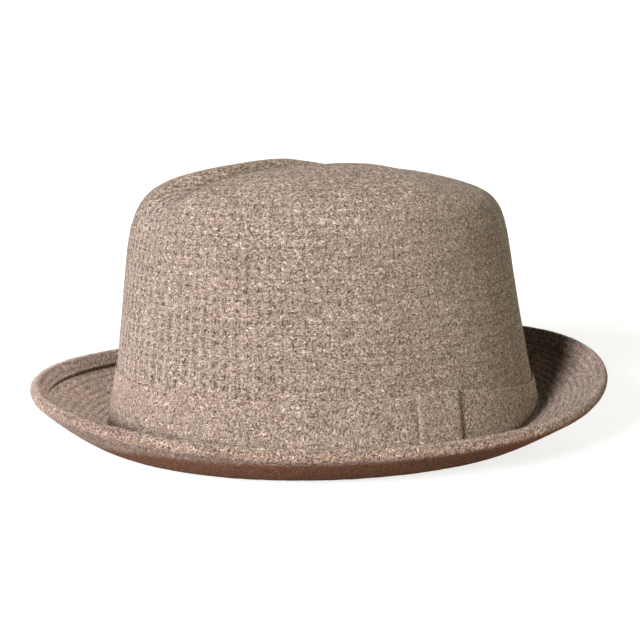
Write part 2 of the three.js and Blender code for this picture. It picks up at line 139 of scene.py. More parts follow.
# How finely the cloth is meshed. The brim's rows are the flat ring's, the curl's, the fold's at
# the rim and the hem flap's, and the sheet is the first two of these.
FELT_COLUMNS = 464
CROWN_ROWS, CROWN_INSIDE_ROWS = 158, 40
LINING_COLUMNS, LINING_TIP_COLUMNS, LINING_ROWS = 360, 300, 46
BAND_COLUMNS, KEEPER_COLUMNS, SWEATBAND_COLUMNS = 620, 30, 420
KEEPER_FACE_ROWS, KEEPER_TURN_ROWS = 14, 7
BOW_COLUMNS, KNOT_COLUMNS, TAB_COLUMNS = 61, 15, 31
FLAT_ROWS = (0, 0.06, 0.12)
CURL_ROWS, FOLD_ROWS, FLAP_ROWS = 30, 12, 7
SHEET_ROWS = len(FLAT_ROWS) + CURL_ROWS
# About this many faces are enough to tell whether a piece's faces look outwards.
VOLUME_SAMPLE = 4000
# Rings of the crown and the lining stop at this share of the way to the top, and a pole closes them.
TOP_SHARE = 0.985

# Colours of the felt's fibres, of the painted shade in the knit's dents, of the rim where the
# underside begins, and of the underside's painted warm reflection and shade.
FELT_MIDDLE = (0.4, 0.298, 0.234)
FELT_LIGHT = (0.93, 0.75, 0.635)
FELT_DARK = (0.08, 0.053, 0.038)
DENT_SHADE_COLOR = (0.05, 0.033, 0.024)
RIM_MIDDLE = (0.42, 0.275, 0.205)
RIM_LIGHT = (0.95, 0.73, 0.61)
PAINTED_BOUNCE_MIDDLE = (0.27, 0.088, 0.03)
PAINTED_BOUNCE_LIGHT = (0.5, 0.22, 0.1)
PAINTED_BOUNCE_DARK = (0.05, 0.018, 0.01)

# Colours of the rest, as the dark and the light end of a blend.
SATIN_COLORS = (0.1, 0.062, 0.045), (0.16, 0.105, 0.078)
SATIN_CLOUD = (0.2, 0.13, 0.1)
LEATHER_COLORS = (0.17, 0.075, 0.035), (0.3, 0.15, 0.075)
LEATHER_LINES = (0.1, 0.045, 0.022)
THREAD_COLORS = (0.1, 0.07, 0.05), (0.24, 0.175, 0.13)
TAB_COLORS = (0.48, 0.43, 0.36), (0.76, 0.71, 0.62)
REED_COLORS = (0.02, 0.016, 0.013), (0.045, 0.036, 0.03)
WIRE_COLORS = (0.38, 0.37, 0.36), (0.55, 0.54, 0.52)
FLOOR_COLORS = (0.3, 0.3, 0.298), (0.31, 0.31, 0.308)
SURROUND_COLOR = (1, 0.995, 0.99, 1)

# Height of the felt's relief, in metres, and its roughness.
FELT_RELIEF, FELT_ROUGHNESS = 0.0006, 0.94

# Camera: lengths in metres, the lens and the sensor in millimetres. The aim is a point over the
# frame's origin, moved to the right and up in the picture.
CAMERA_AZIMUTH = math.radians(52.5)
CAMERA_ELEVATION = math.radians(10.26)
CAMERA_ROLL = math.radians(0.93)
CAMERA_DISTANCE = 0.6858
CAMERA_LENS, CAMERA_SENSOR = 81.6, 36.0
AIM_HEIGHT = 0.06
AIM_RIGHT, AIM_UP = -0.00311, -0.01026

# The surround and the floor: how bright they are to look at, and as light for the hat.
SURROUND_SEEN, SURROUND_CAST = 1.05, 0.03
FLOOR_SEEN, FLOOR_CAST = 0.8, 0.14
FLOOR_RADIUS, FLOOR_SIDES, FLOOR_DROP = 6000, 96, 0.05

# Spots, in metres. They light the brim's upper side and its rim at the wearer's front right.
SPOT_DISTANCE, SPOT_RADIUS = 0.6, 0.06
BRIM_TOP_TARGET = (-0.075, -0.085, 0.025)
BRIM_RIM_TARGET = (-0.075, -0.105, 0.012)


def mix(first, second, share):
    return first + (second - first) * share


def smooth(value, low, high):
    share = np.clip((value - low) / (high - low), 0, 1)
    return share * share * (3 - 2 * share)


def unit(vectors):
    return vectors / np.maximum(np.linalg.norm(vectors, axis=-1, keepdims=True), 1e-9)


def quarter_turn(flat):
    return np.stack([-flat[..., 1], flat[..., 0]], axis=-1)


def turn_from(angle, start):
    """The way from a start angle to an angle, between half a turn back and half a turn on."""
    return (angle - start + math.pi) % TURN - math.pi


def backness(angle):
    """0 at the front, nearly 0 at the sides, 1 at the back."""
    return smooth(np.sin(angle), *BACK_BETWEEN)


def headline_lift(angle):
    """How far the headline climbs off the table towards the back."""
    return BACK_LIFT * smooth(np.sin(angle), *LIFT_BETWEEN)


# ---------------- crown surface


def crown_rings():
    """Rings from the headline to the top. Columns: half width, half length, shift to the back,
    widening to the back, height, share of the droop, share of the flare."""
    top_width = HEAD_HALF_WIDTH - SIDE_TAPER
    top_length = HEAD_HALF_LENGTH - END_TAPER

    def wall(height, droop=0.0):
        share = (height - FELT) / (SHOULDER_HEIGHT - FELT)
        return [
            mix(HEAD_HALF_WIDTH, top_width, share),
            mix(HEAD_HALF_LENGTH, top_length, share),
            CROWN_LEAN * share,
            0,
            height,
            droop,
            max(0, 1 - FLARE_FADE * share),
        ]

    def dome(width, length, below, shift, widening):
        return [width, length, CROWN_LEAN + shift, widening, DOME_HEIGHT - below, 1, 0]

    return np.array([
        *[wall(height) for height in WALL_HEIGHTS],
        wall(SHOULDER_HEIGHT, 0.4),
        dome(top_width - SHOULDER_INSET, top_length - SHOULDER_INSET, SHOULDER_DROP, 0, 0.01),
        dome(top_width - DOME_EDGE_INSET, top_length - DOME_EDGE_INSET, DOME_EDGE_DROP, -1, 0.02),
        dome(top_width * 0.48, top_length * 0.48, 0, -2, 0.02),
        dome(top_width * 0.24, top_length * 0.24, -DOME_BULGE * 0.8, -3, 0.01),
        dome(0, 0, -DOME_BULGE, -3, 0),
    ])


def held_spline(rows, share):
    """Uniform cubic B-spline through rows of numbers, held at its first and last rows."""
    rows = np.vstack([2 * rows[0] - rows[1], rows, 2 * rows[-1] - rows[-2]])
    spans = len(rows) - 3
    place = np.asarray(share) * spans
    span = np.clip(place.astype(int), 0, spans - 1)
    t = (place - span)[..., None]
    return (
        (1 - t) ** 3 * rows[span]
        + (3 * t**3 - 6 * t**2 + 4) * rows[span + 1]
        + (-3 * t**3 + 3 * t**2 + 3 * t + 1) * rows[span + 2]
        + t**3 * rows[span + 3]
    ) / 6


CROWN_RINGS = crown_rings()


def pinch(angle, share):
    """Depth of the two dents that a thumb and fingers leave at the front of the crown."""
    left = PINCH_DEPTH_LEFT * np.exp((np.cos(angle - PINCH_ANGLE) - 1) / PINCH_SPREAD**2)
    mirrored = math.pi - PINCH_ANGLE
    right = PINCH_DEPTH_RIGHT * np.exp((np.cos(angle - mirrored) - 1) / PINCH_SPREAD**2)
    return (left + right) * np.exp(-(((share - PINCH_SHARE) / PINCH_REACH) ** 2))


def crease(x, y):
    """Depth of the crease along the top: narrow and shallow at the front, wide behind."""
    width = mix(CREASE_WIDTH_FRONT, CREASE_WIDTH_BACK, smooth(y, *CREASE_WIDENS))
    across = np.clip(1 - (x / width) ** 2, 0, 1) ** CREASE_EDGE
    to_front = mix(CREASE_FRONT_SHARE, 1, smooth(y, *CREASE_DEEPENS))
    to_back = 1 - smooth(y, *CREASE_ENDS)
    return CREASE_DEPTH * across * to_front * to_back


def crown_surface(angle, share):
    """Outside of the crown for arrays of angles and of shares of the way to the top."""
    width, length, shift, widening, height, droop, base = np.moveaxis(
        held_spline(CROWN_RINGS, share), -1, 0
    )
    sine = np.sin(angle)
    flare = BACK_FLARE * base * backness(angle) - pinch(angle, share)
    x = (width + flare) * np.cos(angle) * (1 + widening * sine)
    y = (length + flare) * sine + shift
    drop = BACK_DROOP * (1 + DROOP_SKEW * np.cos(angle)) * smooth(sine, 0, 1)
    drop = drop + FRONT_DROOP * smooth(-sine, 0.1, 1)
    z = height + droop * (DOME_TILT * x - drop) + headline_lift(angle) * base
    z = z - crease(x, y) * smooth(z, *CREASE_RIM)
    return np.stack([x, y, z], axis=-1)


def crown_frame(angle, share):
    """The outside point and the outward normal."""
    step = 0.002
    around = crown_surface(angle + step, share) - crown_surface(angle - step, share)
    above, below = np.clip(share + step, 0, 1), np.clip(share - step, 0, 1)
    up = crown_surface(angle, above) - crown_surface(angle, below)
    return crown_surface(angle, share), unit(np.cross(around, up))


def crown_at(angle, share, depth):
    """The point at a depth under the crown's outside."""
    point, normal = crown_frame(angle, share)
    return point - normal * np.asarray(depth)[..., None]


def share_at_height(angle, height, halvings=22):
    """The share of the way to the top at which the crown's wall reaches a height."""
    low = np.zeros(np.broadcast(angle, height).shape)
    high = np.full(low.shape, 0.5)
    for _ in range(halvings):
        middle = (low + high) / 2
        below = crown_surface(angle, middle)[..., 2] < height
        low, high = np.where(below, middle, low), np.where(below, high, middle)
    return (low + high) / 2


def beside_wall(angle, height, offset):
    """Points beside the crown's wall, outside it for a positive offset."""
    angle, height, offset = np.broadcast_arrays(angle, height, offset)
    point = crown_at(angle, share_at_height(angle, height), -offset)
    point[..., 2] = height
    return point


def headline(angle, offset):
    """Plan of the crown's outside at the headline, moved out by an offset."""
    flare = BACK_FLARE * backness(angle)
    cosine, sine = np.cos(angle), np.sin(angle)
    out = unit(np.stack([cosine / HEAD_HALF_WIDTH, sine / HEAD_HALF_LENGTH], axis=-1))
    at = np.stack(
        [(HEAD_HALF_WIDTH + flare) * cosine, (HEAD_HALF_LENGTH + flare) * sine], axis=-1
    )
    return at + out * offset


# ---------------- meshes


def lumps(points, size, seed):
    """Smooth noise from -1 to 1 at each point, with bumps about as wide as size, in millimetres."""
    flat = np.asarray(points).reshape(-1, 3) / size + seed
    values = [noise.noise(Vector(p)) for p in flat]
    return np.array(values).reshape(np.asarray(points).shape[:-1])


def make_mesh(name, points, faces, weave=None):
    """An object from millimetre points. weave holds three numbers for each corner of each face."""
    mesh = bpy.data.meshes.new(name)
    mesh.from_pydata((np.asarray(points) * MM).tolist(), [], faces)
    if weave is not None:
        layer = mesh.attributes.new("weave", "FLOAT_VECTOR", "CORNER")
        layer.data.foreach_set("vector", np.asarray(weave, dtype=np.float32).ravel())
    mesh.shade_smooth()
    piece = bpy.data.objects.new(name, mesh)
    bpy.context.collection.objects.link(piece)
    return piece


def signed_volume(points, faces):
    """Volume inside the faces, which is below 0 where they face inwards."""
    total = 0.0
    for face in faces:
        corners = points[list(face)]
        fan = np.cross(corners[1:-1], corners[2:])
        total += float((fan @ corners[0]).sum())
    return total / 6


def grid_piece(name, grid, wraps=False, poles=False, caps=False, weave=None):
    """A closed piece from a grid of points: rows x columns, where the columns close on themselves.

    wraps joins the last row to the first, poles closes each end with a point at the row's middle,
    and caps closes each end with a flat face. weave holds rows x (columns + 1) x 3 numbers."""
    rows, columns = grid.shape[:2]
    points = grid.reshape(-1, 3)
    row, column = np.meshgrid(
        np.arange(rows if wraps else rows - 1), np.arange(columns), indexing="ij"
    )
    above = (row + 1) % rows
    around = ((row, column), (row, column + 1), (above, column + 1), (above, column))
    quads = np.stack([at * columns + to % columns for at, to in around], axis=-1).reshape(-1, 4)
    sample = quads[:: max(1, len(quads) // VOLUME_SAMPLE)]
    flip = signed_volume(points, sample) < 0
    faces = (quads[:, ::-1] if flip else quads).tolist()
    corners = None
    if weave is not None:
        corners = np.stack([weave[at, to] for at, to in around], axis=-2).reshape(-1, 4, 3)
        corners = (corners[:, ::-1] if flip else corners).reshape(-1, 3)
    if poles:
        points, faces, corners = add_poles(points, faces, corners, rows, columns, flip, weave)
    if caps:
        first, last = list(range(columns)), list(range((rows - 1) * columns, rows * columns))
        faces.append(first if flip else first[::-1])
        faces.append(last[::-1] if flip else last)
    return make_mesh(name, points, faces, corners)


def add_poles(points, faces, corners, rows, columns, flip, weave):
    """Adds a point in the middle of the first and of the last row, with a fan of faces to each."""
    for start, at_end in ((0, False), ((rows - 1) * columns, True)):
        ring = start + np.arange(columns)
        fan = np.stack([ring, np.roll(ring, -1), np.full(columns, len(points))], axis=-1)
        points = np.vstack([points, points[ring].mean(axis=0)])
        turned = at_end == flip
        faces += (fan[:, ::-1] if turned else fan).tolist()
        if corners is not None:
            line = weave[rows - 1 if at_end else 0]
            three = np.stack([line[:-1], line[1:], line[:-1]], axis=1)
            three = three[:, ::-1] if turned else three
            corners = np.vstack([corners, three.reshape(-1, 3)])
    return points, faces, corners


def around_angles(count):
    return np.linspace(0, TURN, count, endpoint=False)


def with_last(angles):
    """The angles and a last one where the turn closes, for the numbers at the faces' corners."""
    return np.append(angles, angles[0] + TURN)


# ---------------- crown and lining


def even_shares(first, last, count, steps=600):
    """Shares of the crown's profile that are evenly spaced along the cloth at the wearer's left,
    and that cloth's length."""
    fine = np.linspace(first, last, steps)
    line = crown_surface(np.zeros(steps), fine)
    length = np.append(0, np.cumsum(np.linalg.norm(np.diff(line, axis=0), axis=1)))
    return np.interp(np.linspace(0, length[-1], count), length, fine), length[-1]


def knit_strength(angle, share):
    """How much the knit and the painted shade in its dents show: a little more low down, most at the
    front, and not at the top.
    """
    low = 1 - smooth(share, 0.1, 0.42)
    to_front = np.cos(angle - KNIT_FRONT)
    dents = (0.8 + 0.1 * low) * (0.65 + 0.35 * smooth(to_front, -0.35, 0.75))
    return mix(dents, 1, smooth(to_front, 0.87, 0.985)) * (1 - smooth(share, 0.7, 0.97))


def crown_weave(angles, courses, strength):
    """Wale, course and strength of the knit at each row and column, and where the turn closes."""
    weave = np.zeros((len(courses), len(angles) + 1, 3))
    weave[..., 0] = with_last(angles) / TURN * WALES_AROUND
    weave[..., 1] = courses[:, None]
    weave[:, :-1, 2] = strength
    weave[:, -1, 2] = weave[:, 0, 2]
    return weave


def crown():
    angles = around_angles(FELT_COLUMNS)
    foot = headline_lift(angles) + FELT + GAP
    shares, length = even_shares(0, TOP_SHARE, CROWN_ROWS)
    angle, share = np.meshgrid(angles, shares)
    outside, normal = crown_frame(angle, share)
    height = CROWN_BUMPS * lumps(outside, CROWN_BUMP_SIZE, seed=11)
    height = height + CROWN_SWELLS * lumps(outside, CROWN_SWELL_SIZE, seed=5)
    outside = outside + normal * height[..., None]
    outside[0, :, 2] = foot
    courses = np.linspace(0, length / COURSE, CROWN_ROWS)
    weave = crown_weave(angles, courses, knit_strength(angle, share))

    shares, _ = even_shares(0, TOP_SHARE, CROWN_INSIDE_ROWS)
    inside = crown_at(*np.meshgrid(angles, shares[::-1]), FELT)
    inside[-1, :, 2] = foot
    courses = np.linspace(length / COURSE, 0, CROWN_INSIDE_ROWS)
    weave = np.concatenate([crown_weave(angles, courses, 0), weave])
    piece = grid_piece("crown_felt", np.concatenate([inside, outside]), poles=True, weave=weave)
    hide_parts("crown")
    return piece


def satin_folds(angle, height):
    """Soft upright folds of the lining, towards the inside of the hat."""
    waves = np.sin(angle * 31 + 1.7 * np.sin(angle * 5)) * np.sin(angle * 13 + 0.8)
    slack = 0.5 + 0.5 * np.sin(angle * 3 + height / 23)
    return 0.5 * (1 + waves) * slack


def satin_faces(angle, share, slack):
    return [crown_at(angle, share, LINING_DEPTH + slack + depth) for depth in (0, SATIN)]


def lining_side():
    angles = around_angles(LINING_COLUMNS)
    shares, length = even_shares(LINING_FOOT_SHARE, LINING_JOIN_SHARE, LINING_ROWS)
    angle, share = np.meshgrid(angles, shares)
    up = np.linspace(0, 1, LINING_ROWS)[:, None]
    slack = satin_folds(angle, np.linspace(0, length, LINING_ROWS)[:, None]) * np.sin(np.pi * up)
    near, far = satin_faces(angle, share, slack)
    piece = grid_piece("lining_wall", np.concatenate([near, far[::-1]]), wraps=True)
    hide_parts("lining_side")
    return piece


def lining_tip():
    angles = around_angles(LINING_TIP_COLUMNS)
    shares, _ = even_shares(LINING_JOIN_SHARE + LINING_JOIN_GAP, TOP_SHARE, LINING_ROWS)
    angle, share = np.meshgrid(angles, shares)
    waves = 1 + lumps(crown_surface(angle, share), LINING_SLACK_SIZE, seed=7)
    slack = LINING_SLACK * waves * smooth(share, 0.6, 0.7)
    near, far = satin_faces(angle, share, slack)
    piece = grid_piece("lining_top", np.concatenate([near[::-1], far]), poles=True)
    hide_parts("lining_tip")
    return piece


# ---------------- brim


def rim_bump(angle):
    return sum(
        height * np.clip(np.cos(angle - math.radians(at)), 0, 1) ** RIM_BUMP_POWER
        for at, height in RIM_BUMPS
    )


def rim_rise(angle):
    """Height of the brim's edge over its foot."""
    rise = RIM_RISE + RIM_RISE_BACK * np.sin(angle) - RIM_RISE_ENDS * np.cos(2 * angle)
    return rise + RIM_TWIST * np.sin(2 * angle) + rim_bump(angle)


def brim_lines(angle):
    """Centre line of the brim's cloth in its upright plane, for each angle.

    Gives the points (along, height), their thickness, and the plan of the plane."""
    plan = headline(angle, -FELT)
    rim = np.stack([RIM_HALF_WIDTH * np.cos(angle), RIM_HALF_LENGTH * np.sin(angle)], axis=-1)
    outward = rim - plan
    reach = np.linalg.norm(outward, axis=-1)
    outward /= reach[:, None]
    fold = (HEM_FELT + HEM_BORE) / 2
    reach = reach - fold - HEM_FELT / 2
    share = np.concatenate([FLAT_ROWS, np.linspace(FLAT_SHARE, 1, CURL_ROWS)])
    curl = np.clip((share - FLAT_SHARE) / (1 - FLAT_SHARE), 0, 1)
    power = mix(CURL_POWER, 1, backness(angle))
    lift = headline_lift(angle)
    climb = (rim_rise(angle) - lift)[:, None] * curl ** power[:, None]
    sheet = np.stack([reach[:, None] * share, FELT / 2 + lift[:, None] + climb], axis=-1)
    line = np.concatenate([sheet, hem_line(sheet, fold)], axis=1)
    back = np.linspace(0, 1, FLAP_ROWS + 1)[1:]
    edge = mix(HEM_EDGE_THIN, HEM_EDGE_THICK, smooth(np.cos(angle - PALE_SIDE), -0.2, 0.6))
    thickness = np.full(line.shape[:2], HEM_FELT)
    thickness[:, :SHEET_ROWS] = FELT
    thickness[:, -FLAP_ROWS:] = mix(HEM_FELT, edge[:, None], back**2)
    return line, thickness, plan, outward


def hem_line(sheet, fold):
    """The rest of the centre line: round the fold at the rim, and back along the hem's flap."""
    tangent = unit(sheet[:, -1] - sheet[:, -2])
    normal = quarter_turn(tangent)
    centre = (sheet[:, -1] + normal * fold)[:, None]
    tangent, normal = tangent[:, None], normal[:, None]
    turn = np.linspace(0, math.pi, FOLD_ROWS + 1)[1:, None]
    back = np.linspace(0, 1, FLAP_ROWS + 1)[1:, None]
    bend = centre - normal * (fold * np.cos(turn)) + tangent * (fold * np.sin(turn))
    flap = centre + normal * (fold - HEM_LEAN * back) - tangent * (HEM_WIDTH * back)
    return np.concatenate([bend, flap], axis=1)


def in_brim_plane(plan, outward, flat):
    """Points in space, from (along, height) in each angle's plane."""
    across = plan[:, None] + outward[:, None] * flat[..., :1]
    return np.concatenate([across, flat[..., 1:]], axis=-1)


def brim_faces(line, thickness, plan, outward):
    """The smooth outer face, which goes under the brim, over the fold and along the flap's top,
    and the smooth inner face."""
    ahead = np.concatenate([line[:, 1:], line[:, -1:]], axis=1)
    behind = np.concatenate([line[:, :1], line[:, :-1]], axis=1)
    half = quarter_turn(unit(ahead - behind)) * (thickness[..., None] / 2)
    outer = in_brim_plane(plan, outward, line - half)
    inner = in_brim_plane(plan, outward, line + half)
    return outer, inner


def roughen_brim(outer, inner, arc):
    """Gives the outer face its bumps, and the sheet's upper side bumps and concentric rows."""
    out = unit(np.cross(
        np.diff(outer, axis=1, append=outer[:, -1:]),
        np.roll(outer, -1, axis=0) - np.roll(outer, 1, axis=0),
    ))
    rough = BRIM_BUMPS * lumps(outer, BRIM_BUMP_SIZE, seed=21)
    # The ring that the hat stands on stays flat.
    rough[:, : len(FLAT_ROWS) + 1] = 0
    row = np.arange(arc.shape[1])
    on_sheet = smooth(arc, 6, 10) * (1 - smooth(row, SHEET_ROWS - 4, SHEET_ROWS))
    waves = ROW_HEIGHT * np.cos(TURN * arc / ROW_SPACING)
    upper = (BRIM_BUMPS * lumps(inner, BRIM_BUMP_SIZE, seed=31) + waves) * on_sheet
    inner[..., 2] += upper
    return outer + out * rough[..., None], inner


def brim_weave(angles, arc):
    """1 deep under the brim and 0 near its rim, for how far the painted warm reflection and shade
    have come; the concentric row; 1 on the underside and 0 past the rim's fold."""
    rows = np.concatenate([arc[0], arc[0][::-1]]) / ROW_SPACING
    row = np.arange(len(rows))[:, None]
    to_pale_side = np.cos(with_last(angles) - PALE_SIDE)
    # How many rows further down the underside the rim's pale colour reaches before the painted warm
    # reflection and shade: partly the pale felt turned under, partly painted light where the light
    # reaches under the brim.
    pale_and_lit_rows = np.interp(to_pale_side, (-1, 0, 0.5, 1), (-4, 2, 6, 20))
    weave = np.zeros((len(rows), len(angles) + 1, 3))
    weave[..., 0] = 1 - smooth(row, SHEET_ROWS - 6 - pale_and_lit_rows, SHEET_ROWS + 3 - pale_and_lit_rows)
    weave[..., 1] = rows[:, None]
    weave[..., 2] = 1 - smooth(row, SHEET_ROWS - 2, SHEET_ROWS + 8)
    return weave


def brim():
    angles = around_angles(FELT_COLUMNS)
    line, thickness, plan, outward = brim_lines(angles)
    steps = np.linalg.norm(np.diff(line, axis=1), axis=-1)
    arc = np.concatenate([np.zeros((FELT_COLUMNS, 1)), np.cumsum(steps, axis=1)], axis=1)
    outer, inner = roughen_brim(*brim_faces(line, thickness, plan, outward), arc)
    grid = np.concatenate([outer, inner[:, ::-1]], axis=1).transpose(1, 0, 2)
    piece = grid_piece("brim_felt", grid, wraps=True, weave=brim_weave(angles, arc))
    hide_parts("brim")
    return piece


# ---------------- strips on the wall


def strip_outline(faces, edge):
    """A strip's section as (share of its height, share of its thickness, edge bulge)."""
    up = np.linspace(0, 1, faces)
    turn = np.linspace(0, math.pi, edge + 2)[1:-1]
    outer = np.stack([up, np.ones(faces), np.zeros(faces)], axis=-1)
    top = np.stack([np.ones(edge), 0.5 + 0.5 * np.cos(turn), np.sin(turn)], axis=-1)
    inner = np.stack([up[::-1], np.zeros(faces), np.zeros(faces)], axis=-1)
    foot = np.stack([np.zeros(edge), 0.5 - 0.5 * np.cos(turn), -np.sin(turn)], axis=-1)
    return np.concatenate([outer, top, inner, foot])


def wall_strip(name, angles, bottom, top, inside, outside, ripple=None, faces=14, edge=3):
    """A strip of cloth with round edges that follows the crown's wall. Its section has as many
    points up each face and round each edge as faces and edge say."""
    outline = strip_outline(faces, edge)
    bottom, top, inside, outside = (
        np.broadcast_to(value, angles.shape)[:, None] for value in (bottom, top, inside, outside)
    )
    half = (outside - inside) / 2
    height = bottom + half + (top - bottom - 2 * half) * outline[:, 0] + half * outline[:, 2]
    offset = inside + (outside - inside) * outline[:, 1]
    if ripple is not None:
        offset = offset + ripple(angles[:, None], outline[:, 0], outline[:, 1])
    return grid_piece(name, beside_wall(angles[:, None], height, offset), caps=True)


def band_stand_off(angle):
    """How far the band lies off the crown: further under the keeper, over its inner layer."""
    near_keeper = np.exp((np.cos(angle - KEEPER_ANGLE) - 1) * KEEPER_LIFT_POWER)
    return GAP + (KEEPER_LINER + GAP) * near_keeper


def band_bottom(angle):
    return FELT + BAND_FOOT + headline_lift(angle)


def band_top(angle):
    return BAND_TOP - BAND_TOP_DROP * backness(angle)


def band_ripple(angle, up, out):
    """How far the band stands off its smooth shape, by shares of its height and thickness.

    It gapes at its top edge, most towards the back. It thins towards that edge and sinks in, least
    on the keeper's side. It is pressed in behind that side, and close beside the keeper."""
    calm = 1 - np.exp(-((turn_from(angle, 0) / 0.2) ** 2))
    pressed = smooth(np.cos(angle - PRESSED_BAND_ANGLE), 0.6, 0.95)
    slack = 0.25 + 0.75 * smooth(np.sin(angle - 0.35), 0, 0.9)
    wave = np.sin(angle * 9 + up * 4) * np.sin(angle * 4 + 1)
    gape = calm * slack * BAND_GAPE * (1 + wave) * up * (1 - pressed)
    full = smooth(np.cos(angle - FULL_BAND_ANGLE), -0.55, 0.3)
    top_edge = smooth(up, mix(0.25, 0.8, full), 1)
    thin = mix(BAND_THIN_MOST, BAND_THIN_LEAST, full) * top_edge * out
    thin = thin + mix(BAND_SINK, 0, full) * smooth(up, 0.1, 0.6)
    beside_keeper = np.abs(turn_from(angle, KEEPER_ANGLE)) - KEEPER_HALF_TURN
    squeeze = BAND_PRESS * np.exp(-((beside_keeper / 0.02) ** 2)) * out
    return gape - thin - BAND_PRESS * pressed * out * calm - squeeze


def hat_band():
    angles = np.linspace(BAND_END, TURN - BAND_END, BAND_COLUMNS)
    near = band_stand_off(angles)
    piece = wall_strip(
        "band_cloth", angles, band_bottom(angles), band_top(angles), near, near + BAND_FELT,
        band_ripple,
    )
    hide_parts("hat_band")
    return piece


def keeper_loop(angles, near, far, margin):
    """One face of the keeper's loop round the band, as (height, offset) pairs for each angle."""
    low = (band_bottom(angles) - margin + KEEPER_CORNER)[:, None]
    high = (band_top(angles) + margin - KEEPER_CORNER)[:, None]
    near, far = near[:, None], far[:, None]
    bow = (far - near) / 2
    up = np.linspace(0, 1, KEEPER_FACE_ROWS)
    turn = np.linspace(0, math.pi, KEEPER_TURN_ROWS + 2)[1:-1]
    parts = (
        (mix(low, high, up), far),
        (high + KEEPER_CORNER * np.sin(turn), near + bow + bow * np.cos(turn)),
        (mix(high, low, up), near),
        (low - KEEPER_CORNER * np.sin(turn), near + bow - bow * np.cos(turn)),
    )
    return np.concatenate(
        [np.stack(np.broadcast_arrays(*part), axis=-1) for part in parts], axis=1
    )


def band_keeper():
    """A loop of cloth round the band: its section is swept along the keeper's width."""
    widths = np.linspace(-1, 1, KEEPER_COLUMNS)
    angles = KEEPER_ANGLE + KEEPER_HALF_TURN * widths
    edge = 1 - np.sqrt(np.clip(1 - np.abs(widths) ** KEEPER_EDGE_POWER, 0, 1))
    near = np.full(KEEPER_COLUMNS, GAP)
    over_band = band_stand_off(angles) + BAND_FELT
    far = over_band + KEEPER_COVER - KEEPER_EDGE_ROUND * edge
    outer = keeper_loop(angles, near, far, GAP + KEEPER_LINER)
    inner = keeper_loop(angles, near + KEEPER_LINER, over_band + KEEPER_SLACK, GAP)
    flat = np.concatenate([outer, inner[::-1]])
    angle = np.concatenate([angles, angles[::-1]])[:, None]
    grid = beside_wall(angle, flat[..., 0], flat[..., 1])
    piece = grid_piece("keeper_cloth", grid, wraps=True)
    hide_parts("band_keeper")
    return piece


def sweatband_ripple(angle, up, _):
    """The sweatband's free top edge leans in a little and waves."""
    return -0.5 * up**2 * (1 + 0.6 * np.sin(angle * 7 + 2) * np.sin(angle * 3))


def sweatband():
    turn = np.linspace(SWEATBAND_END, TURN - SWEATBAND_END, SWEATBAND_COLUMNS)
    angles = BACK_ANGLE + turn
    piece = wall_strip(
        "sweatband_leather", angles, SWEATBAND_FOOT + headline_lift(angles), SWEATBAND_TOP,
        -SWEATBAND_DEPTH - LEATHER, -SWEATBAND_DEPTH, sweatband_ripple, faces=20,
    )
    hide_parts("sweatband")
    return piece


def sweatband_bow():
    """The bow's two loops over the sweatband's join: narrow in the middle, and puffed out."""
    share = np.linspace(-1, 1, BOW_COLUMNS)
    puff = BOW_PUFF * np.sin(np.pi * np.abs(share)) ** 2
    half_height = BOW_WAIST + BOW_FLARE * smooth(np.abs(share), 0.05, 0.8)
    piece = wall_strip(
        "bow_ribbon", BACK_ANGLE + BOW_HALF_LENGTH / BACK_RADIUS * share,
        BOW_HEIGHT - half_height, BOW_HEIGHT + half_height,
        TRIM_OFFSET - 0.7 - puff, TRIM_OFFSET - 0.1 - 0.3 * puff, faces=10,
    )
    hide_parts("sweatband_bow")
    return piece


def bow_knot():
    share = np.linspace(-1, 1, KNOT_COLUMNS)
    bulge = 1 - share**2
    half_height = KNOT_HALF_HEIGHT + 0.5 * bulge
    piece = wall_strip(
        "bow_knot", BACK_ANGLE + KNOT_HALF_LENGTH / BACK_RADIUS * share,
        BOW_HEIGHT - half_height, BOW_HEIGHT + half_height,
        TRIM_OFFSET - 1.0 - 0.6 * bulge, TRIM_OFFSET - 0.55, faces=8,
    )
    return piece


def size_tab():
    share = np.linspace(-1, 1, TAB_COLUMNS)
    curl = 0.5 * np.abs(share) ** 4
    piece = wall_strip(
        "woven_tab", BACK_ANGLE + TAB_FROM_BACK + TAB_HALF_LENGTH / BACK_RADIUS * share,
        TAB_FOOT, TAB_TOP, TRIM_OFFSET - 0.45 - curl, TRIM_OFFSET - 0.05 - curl, faces=12, edge=2,
    )
    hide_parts("size_tab")
    return piece


# ---------------- materials


